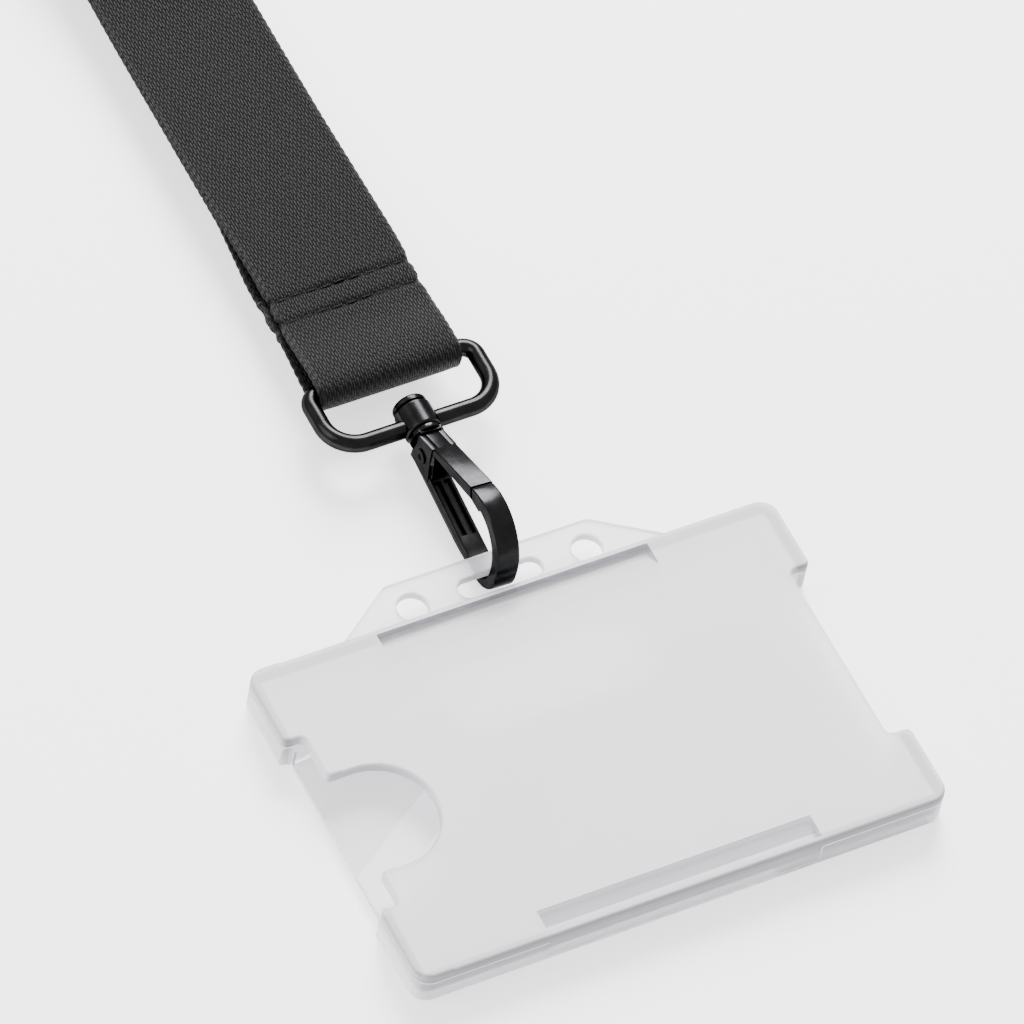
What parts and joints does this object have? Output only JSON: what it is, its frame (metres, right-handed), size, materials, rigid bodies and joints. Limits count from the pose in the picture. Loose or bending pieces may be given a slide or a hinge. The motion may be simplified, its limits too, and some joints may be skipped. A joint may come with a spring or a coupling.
{
  "type": "lanyard badge holder",
  "caption": "Frosted rigid card case hung from a flat neck ribbon by an oval ring and a swivelling trigger snap hook.",
  "frame": {"origin": "middle of the card case's rear face", "axes": "+X along the case's long edge, +Y from the case to the lanyard, +Z out of the case's front; the object lies on its back on z = 0"},
  "size_m": [0.091, 0.3223, 0.0148],
  "materials": {
    "frosted_front": "frosted translucent polypropylene",
    "frosted_rear": "frosted translucent polypropylene",
    "black_cast": "glossy black plated die casting",
    "black_head": "glossy black plated",
    "black_lever": "glossy black plated die casting",
    "black_pin": "glossy black plated",
    "spring_steel": "bright spring wire",
    "black_ring": "glossy black plated die casting",
    "ribbon_fold": "black woven twill ribbon with a satin sheen",
    "ribbon_front": "black woven twill ribbon with a satin sheen",
    "ribbon_rear": "black woven twill ribbon with a satin sheen",
    "thread_lower": "black sewing thread",
    "thread_upper": "black sewing thread",
    "ribbon_hank": "black woven twill ribbon with a satin sheen",
    "tie_band": "black looped hook-and-loop band"
  },
  "bodies": {
    "holder": {"front_shell": "frosted_front", "rear_shell": "frosted_rear"},
    "hook": {"hook_body": "black_cast", "swivel_head": "black_head", "gate_pin": "black_pin", "gate_spring": "spring_steel"},
    "gate": {"gate_lever": "black_lever"},
    "ring": {"oval_ring": "black_ring"},
    "lanyard": {"strap_fold": "ribbon_fold", "strand_front": "ribbon_front", "strand_rear": "ribbon_rear", "stitch_row_lower": "thread_lower", "stitch_row_upper": "thread_upper", "neck_hank": "ribbon_hank", "hank_tie": "tie_band"}
  },
  "joints": [
    {"name": "hook_swing", "type": "hinge", "parent": "holder", "child": "hook", "pos_m": [0, 0.0365, 0.004], "axis": [1, 0, 0], "range_deg": [-85, 15]},
    {"name": "gate_turn", "type": "hinge", "parent": "hook", "child": "gate", "pos_m": [0.00041, 0.0575, 0.0057], "axis": [0.9962, 0, -0.0872], "range_deg": [0, 30], "stiffness_Nm_per_rad": 0.004, "springref_deg": -20.05},
    {"name": "ring_swivel", "type": "hinge", "parent": "hook", "child": "ring", "pos_m": [0.0005, 0.0632, 0.0067], "axis": [0, 1, 0], "continuous": true},
    {"name": "lanyard_swing", "type": "hinge", "parent": "ring", "child": "lanyard", "pos_m": [0.0005, 0.0737, 0.0067], "axis": [1, 0, 0], "range_deg": [-90, 90]}
  ]
}
